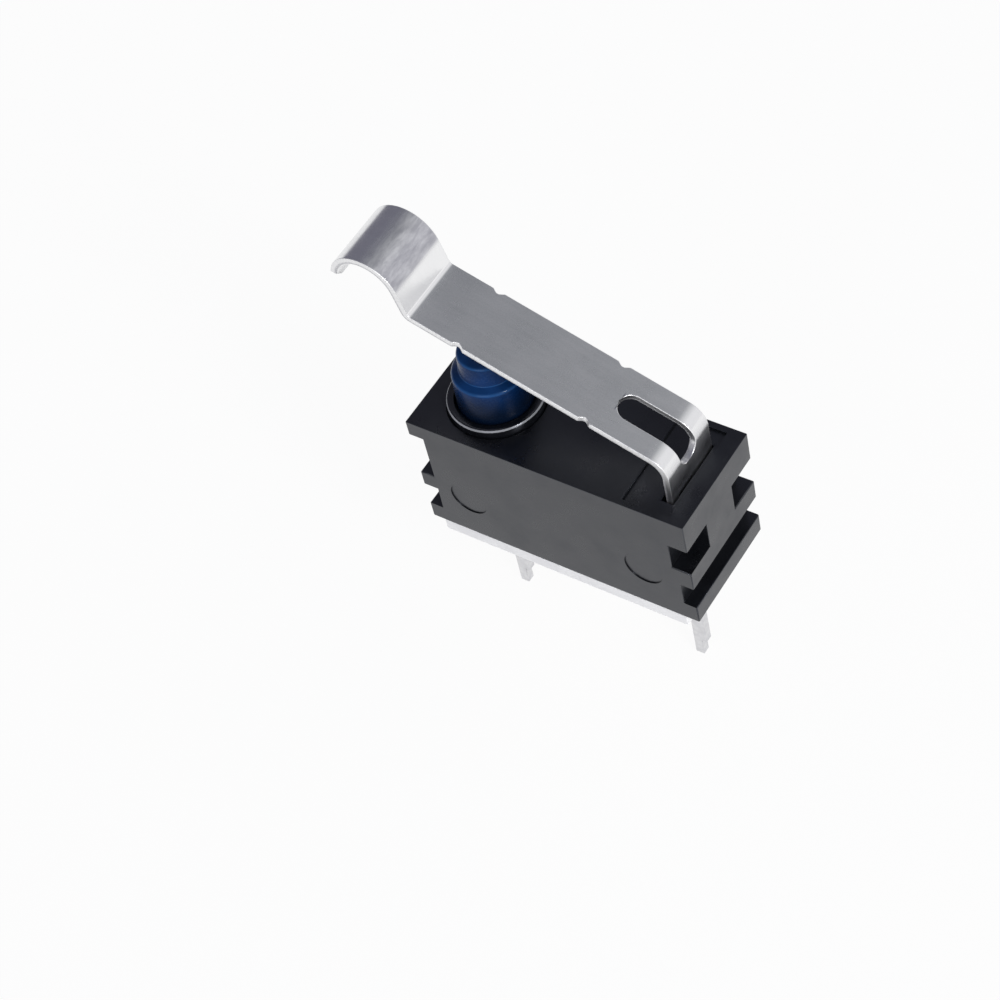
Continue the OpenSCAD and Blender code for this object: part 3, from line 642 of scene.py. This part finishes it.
bootShape = {
    "axis": -3.7, "top": 7.0, "sides": 128,
    # radius, height and rounding of each corner, outside from foot to nub, then inside back down
    "outside": [(1.38, 0, 0), (1.88, 0, 0.05), (1.88, 0.3, 0.08), (1.675, 0.3, 0.06), (1.62, 2.05, 0.22),
                (1.26, 2.25, 0.08), (1.2, 3.2, 0.2), (0.75, 3.4, 0.08), (0.75, 3.95, 0)],
    "inside": [(0.45, 3.95, 0), (0.45, 3.1, 0.08), (0.9, 2.9, 0.1), (0.96, 1.95, 0.08), (1.32, 1.75, 0.1),
               (1.38, 0, 0)],
    "nub": 0.75, "tip": 4.7, "wall": 0.3, "domeSteps": 16, "hollowSteps": 12,
    # share of painted highlight and gloss for each upward share of its direction, above the foot
    "shoulders": ((0.25, 0.5, 0.7, 0.85), (0, 0.6, 0.4, 0.05)), "foot": 1.0,
}


# The boot is a profile turned round the plunger's axis: tiers with rounded shoulders, a half-round nub, and its own
# inside. Its flow holds the share of painted highlight and gloss, which follows the upward share of the wall's
# direction on the shoulders (minus the step in radius over the step's length), and the height above the case, which
# places the painted shade
def buildBoot(shape):
    outside, inside = roundedPath(shape["outside"]), roundedPath(shape["inside"])
    nubCentre = (0, shape["tip"] - shape["nub"])
    dome = arcPoints(nubCentre, shape["nub"], 0, 90, shape["domeSteps"])[1:]
    hollow = arcPoints(nubCentre, shape["nub"] - shape["wall"], 90, 0, shape["hollowSteps"])[:-1]
    profile = np.concatenate([outside, dome, hollow, inside])
    step = np.gradient(profile, axis=0)
    glossAndHighlight = np.interp(-step[:, 0] / np.linalg.norm(step, axis=1), *shape["shoulders"])
    glossAndHighlight[(profile[:, 1] < shape["foot"]) | (np.arange(len(glossAndHighlight)) >= len(outside) - 1)] = 0
    flow = np.repeat(np.stack([glossAndHighlight, profile[:, 1], 0 * glossAndHighlight], 1), shape["sides"], 0)
    return *revolved(profile + [0, shape["top"]], shape["axis"], shape["sides"]), flow


bootPoints, bootFaces, bootFlow = buildBoot(bootShape)
boot = makePiece("bootBellows", bootPoints, bootFaces, [blueSilicone], flow=bootFlow, sharp=60)
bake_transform(boot)
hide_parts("boot")

ringShape = {
    "axis": -3.7, "top": 7.0, "sides": 128,
    # radius, height and rounding of each corner, and where the painted highlight on the rim begins
    "section": [(1.91, 0.33, 0), (1.91, -0.3, 0.02), (2.12, -0.3, 0.03), (2.12, 0.45, 0.14), (1.72, 0.45, 0.1),
                (1.72, 0.33, 0.02), (1.91, 0.33, 0)],
    "rim": (2.06, 0.36),
}


# The ring is a rounded channel section turned round the same axis; the faces on its outer top edge carry a painted
# highlight in pale grey
def buildRing(shape):
    profile = roundedPath(shape["section"])
    points, faces = revolved(profile + [0, shape["top"]], shape["axis"], shape["sides"])
    middle = np.repeat((profile[:-1] + profile[1:]) / 2, shape["sides"], 0)
    return points, faces, (middle > shape["rim"]).all(1)


ringPoints, ringFaces, ringKinds = buildRing(ringShape)
ring = makePiece("bootRing", ringPoints, ringFaces, [blackPolished, blackRimHighlight], ringKinds, sharp=60)
seat(ring, "housing", "black_plastic", "boot_ring")
print("boot and ring made")


caseShape = {"edge": 0.05, "markX": 4.3, "markZ": 3.0, "markReach": 0.92, "markFace": -2.58}


# True on the two faint round marks in the front, mirrored at x = 0
def inMarks(x, y, z):
    fromMiddle = np.hypot(np.abs(x) - caseShape["markX"], z - caseShape["markZ"])
    return (y < caseShape["markFace"]) & (fromMiddle < caseShape["markReach"])


case = cadCopy("case", "caseCover", [blackMoulded, blackRubbed])
roundEdges(case, caseShape["edge"], material=1, keepSharp=inMarks)
seat(case, "housing", "black_plastic", "case")

baseShape = {"edge": 0.04}
base = cadCopy("base", "baseCarrier", [whiteMoulded])
roundEdges(base, baseShape["edge"])
seat(base, "housing", "pale_plastic", "base")

pinShape = {"edge": 0.03}
for node, name in (("contact_terminal", "contactPin"), ("common_terminal", "commonPin")):
    pin = cadCopy(node, name, [tinnedBrass])
    roundEdges(pin, pinShape["edge"])
    seat(pin, "housing", "tinned_brass", node)
print("case, base and pins made")


sealShape = {
    "halfX": 5.55, "halfY": 2.15, "top": 0.3, "sag": 0.09, "creep": 0.22, "pinX": 4.6, "pinHalf": (0.325, 0.2),
    "nx": 160, "ny": 64, "crowdX": 0.35, "crowdY": 0.5, "least": 1e-4,
}


# Rows from -half to half that crowd towards both ends: half (crowd sin(90 degrees t) + (1 - crowd) t)
def crowdedRows(half, count, crowd):
    t = np.linspace(-1, 1, count)
    return half * (crowd * np.sin(t * np.pi / 2) + (1 - crowd) * t)


# The resin's face is a height field: it sags by (1 - exp(-d / creep)) of its sag, where d joins the distances to the
# rim and to the nearest pin, 1 / (1 / rim + 1 / pin), so it creeps up on both; a flat back and four sides close it
def buildSeal(shape):
    gx, gy = np.meshgrid(crowdedRows(shape["halfX"], shape["nx"], shape["crowdX"]),
                         crowdedRows(shape["halfY"], shape["ny"], shape["crowdY"]), indexing="ij")
    toRim = np.minimum(shape["halfX"] - np.abs(gx), shape["halfY"] - np.abs(gy))
    ax = np.abs(np.abs(gx) - shape["pinX"]) - shape["pinHalf"][0]
    ay = np.abs(gy) - shape["pinHalf"][1]
    toPin = np.hypot(np.clip(ax, 0, None), np.clip(ay, 0, None))
    d = 1 / (1 / (toRim + shape["least"]) + 1 / (toPin + shape["least"]))
    face = np.stack([gx, gy, shape["sag"] * (1 - np.exp(-d / shape["creep"]))], -1)
    back = np.stack([gx, gy, np.full_like(gx, shape["top"])], -1)
    n = gx.size
    quads = gridFaces(shape["nx"], shape["ny"])
    order = np.arange(n).reshape(gx.shape)
    rim = np.concatenate([order[:-1, 0], order[-1, :-1], order[:0:-1, -1], order[0, ::-1]])
    points = np.concatenate([face.reshape(-1, 3), back.reshape(-1, 3)])
    return points, np.concatenate([quads, quads + n, stripFaces(rim, rim + n)])


seal = makePiece("sealResin", *buildSeal(sealShape), [castResin])
seat(seal, "housing", "cast_resin", "terminal_seal")
print("seal made")


springShape = {
    "axis": -3.7, "coil": 0.95, "wire": 0.11, "turns": 6.5, "low": 1.84, "high": 5.51, "steps": 420, "sides": 18,
}


# The spring is a round section carried along a helix: centre (coil cos a, coil sin a, rising evenly),
# the section spanned by the outward and the upward direction, its two ends closed flat
def buildSpring(shape):
    a = np.linspace(0, 2 * np.pi * shape["turns"], shape["steps"])[:, None]
    b = np.linspace(0, 2 * np.pi, shape["sides"], endpoint=False)[None, :]
    r = shape["coil"] + shape["wire"] * np.cos(b)
    z = np.linspace(shape["low"], shape["high"], shape["steps"])[:, None] + shape["wire"] * np.sin(b)
    points = np.stack([shape["axis"] + r * np.cos(a), r * np.sin(a), z], -1)
    centres = points[[0, -1]].mean(1)
    n = points[..., 0].size
    skin = gridFaces(shape["steps"], shape["sides"], wrap=True)
    ring = np.arange(shape["sides"])
    first = np.stack([ring, np.roll(ring, -1), np.full_like(ring, n)], -1)
    last = first + [n - shape["sides"], n - shape["sides"], 1]
    return np.concatenate([points.reshape(-1, 3), centres]), skin, np.concatenate([first, last])


springPoints, springSkin, springEnds = buildSpring(springShape)
spring = makePiece("returnCoil", springPoints, springSkin, [drawnWire], sharp=50, caps=springEnds)
seat(spring, "housing", "spring_wire", "return_spring")
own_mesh(spring)

plungerShape = {"edge": 0.04}
plunger = cadCopy("plunger", "plungerPin", [naturalAcetal])
roundEdges(plunger, plungerShape["edge"])
seat(plunger, "plunger", "plunger_plastic", "plunger")

bladeShape = {"edge": 0.02}
blade = cadCopy("snap_blade", "snapBlade", [rolledCopper])
roundEdges(blade, bladeShape["edge"])
seat(blade, "blade", "copper_alloy", "snap_blade")

contactShape = {"axis": 0.65, "radius": 0.6, "dome": 0.07, "rim": 0.04, "rings": 14, "sides": 72}


# A contact button is a turned profile: a bevelled rim and a face that rises by dome (1 - (r / radius) squared)
def buildContact(shape, flat, faceZ):
    out = np.sign(faceZ - flat)
    r = np.linspace(shape["radius"] - shape["rim"], 0, shape["rings"])
    crown = np.stack([r, faceZ - out * shape["dome"] * (r / shape["radius"]) ** 2], 1)
    rimZ = faceZ - out * (shape["dome"] + shape["rim"])
    side = [(0, flat), (shape["radius"], flat), (shape["radius"], rimZ)]
    return revolved(np.concatenate([side, crown]), shape["axis"], shape["sides"])


for node, name, body in (("moving_contact", "movingContact", "blade"), ("fixed_contact", "fixedContact", "housing")):
    low, high = (corner.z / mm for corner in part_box(node))
    flat, faceZ = (high, low) if node == "moving_contact" else (low, high)
    contact = makePiece(name, *buildContact(contactShape, flat, faceZ), [coinedSilver], sharp=50)
    seat(contact, body, "silver_alloy", node)
print("inside pieces made")

stageShape = {
    "floorZ": -6.21, "half": 1500.0, "white": "#f6f6f6", "shade": "#f2f2f2", "toneSpan": (0.3, 0.7), "fibre": 4.0,
    "rough": 0.9, "glow": 0.94,
}


# A pale floor under the pins, a square of paper: white to the eye and in reflections, with a faint shadow left in it
def buildFloor(shape):
    h, z = shape["half"], shape["floorZ"]
    material, tree, shader, spot = newMaterial("paperWhiteMatt")
    fibre = addNode(tree, "ShaderNodeTexNoise", {"Vector": spot, "Scale": patternScale(shape["fibre"]), "Detail": 2.0})
    colour = addNode(tree, "ShaderNodeValToRGB", {"Fac": fibre.outputs["Fac"]},
                     colourStops(shape["toneSpan"], (shape["shade"], shape["white"])))
    shader.inputs["Roughness"].default_value = shape["rough"]
    tree.links.new(colour.outputs["Color"], shader.inputs["Base Color"])
    light = addNode(tree, "ShaderNodeLightPath").outputs
    seen = addNode(tree, "ShaderNodeMath", {0: light["Is Camera Ray"], 1: light["Is Glossy Ray"]}, operation="ADD")
    seenThrough = addNode(tree, "ShaderNodeMath", {
        0: seen.outputs[0], 1: light["Is Transmission Ray"]}, operation="ADD", use_clamp=True)
    share = addNode(tree, "ShaderNodeMath", {0: seenThrough.outputs[0], 1: shape["glow"]}, operation="MULTIPLY")
    glow = addNode(tree, "ShaderNodeEmission", {"Color": (1.0, 1.0, 1.0, 1.0), "Strength": 1.0})
    both = addNode(tree, "ShaderNodeMixShader", {
        0: share.outputs[0], 1: shader.outputs["BSDF"], 2: glow.outputs["Emission"]})
    tree.links.new(both.outputs["Shader"], tree.nodes["Material Output"].inputs["Surface"])
    return makePiece("paperFloor", [[-h, -h, z], [h, -h, z], [h, h, z], [-h, h, z]], [[0, 1, 2, 3]], [material])


buildFloor(stageShape)

# Room light, as beside a window: u = x + y / 4 of a direction runs from the dim left to the bright right, over the
# reach of that vector; a white band lies round the horizon, between two heights of a direction
skyShape = {
    "across": (1.0, 0.25, 0.0), "reach": 1.03, "band": (0.01, 0.09),
    "places": (0.0, 0.34, 0.5, 0.61, 0.76, 0.88, 1.0),
    "tones": ("#75747f", "#757581", "#898a92", "#9b9da1", "#d6d7d9", "#eeeef0", "#ececee"),
}
world = bpy.data.worlds.new("softRoom")
bpy.context.scene.world = world
world.use_nodes = True
sky = world.node_tree
ray = addNode(sky, "ShaderNodeTexCoord").outputs["Generated"]
across = addNode(sky, "ShaderNodeVectorMath", {0: ray, 1: skyShape["across"]}, operation="DOT_PRODUCT")
level = addNode(sky, "ShaderNodeMapRange", remap(
    across.outputs["Value"], (-skyShape["reach"], skyShape["reach"]), (0.0, 1.0)))
tone = addNode(sky, "ShaderNodeValToRGB", {"Fac": level.outputs["Result"]},
               colourStops(skyShape["places"], skyShape["tones"]))
height = addNode(sky, "ShaderNodeSeparateXYZ", {0: ray})
band = addNode(sky, "ShaderNodeMapRange", remap(height.outputs["Z"], skyShape["band"], (1.0, 0.0)))
room = addNode(sky, "ShaderNodeMix", {
    0: band.outputs["Result"], 6: tone.outputs["Color"], 7: (1.0, 1.0, 1.0, 1.0)}, data_type="RGBA")
sky.links.new(room.outputs[2], sky.nodes["Background"].inputs["Color"])

# Soft boxes: direction from the switch, distance and side in metres, and power
boxLights = {
    "window": {"towards": (0.78, -0.3, 0.55), "far": 0.36, "side": 0.08, "power": 0.56},
    "fill": {"towards": (0.1, -0.92, 0.38), "far": 0.36, "side": 0.2, "power": 0.28},
}
for name, box in boxLights.items():
    lamp = bpy.data.lights.new(name, "AREA")
    lamp.shape, lamp.size, lamp.energy = "SQUARE", box["side"], box["power"]
    back = np.array(box["towards"]) / np.linalg.norm(box["towards"])
    aside = np.cross((0, 0, 1), back)
    aside /= np.linalg.norm(aside)
    newObject(name, lamp).matrix_world = placed(aside, np.cross(back, aside), back * box["far"])

# The camera stands 0.1 m off, to the front right and above, turned a little about its own line of sight
cameraShape = {
    "eye": (43.556, -49.988, 84.73), "right": (0.83415, 0.52531, -0.16804), "up": (-0.33056, 0.72006, 0.61011),
    "lens": 90.0, "sensor": 36.0, "clip": (0.005, 20.0),
}
camera = newObject("mainCamera", bpy.data.cameras.new("mainCamera"))
camera.data.lens, camera.data.sensor_width = cameraShape["lens"], cameraShape["sensor"]
camera.data.clip_start, camera.data.clip_end = cameraShape["clip"]
camera.matrix_world = placed(cameraShape["right"], cameraShape["up"], np.array(cameraShape["eye"]) * mm)
bpy.context.scene.camera = camera
bpy.context.scene.view_settings.view_transform = "Standard"
print("stage, light and camera made")
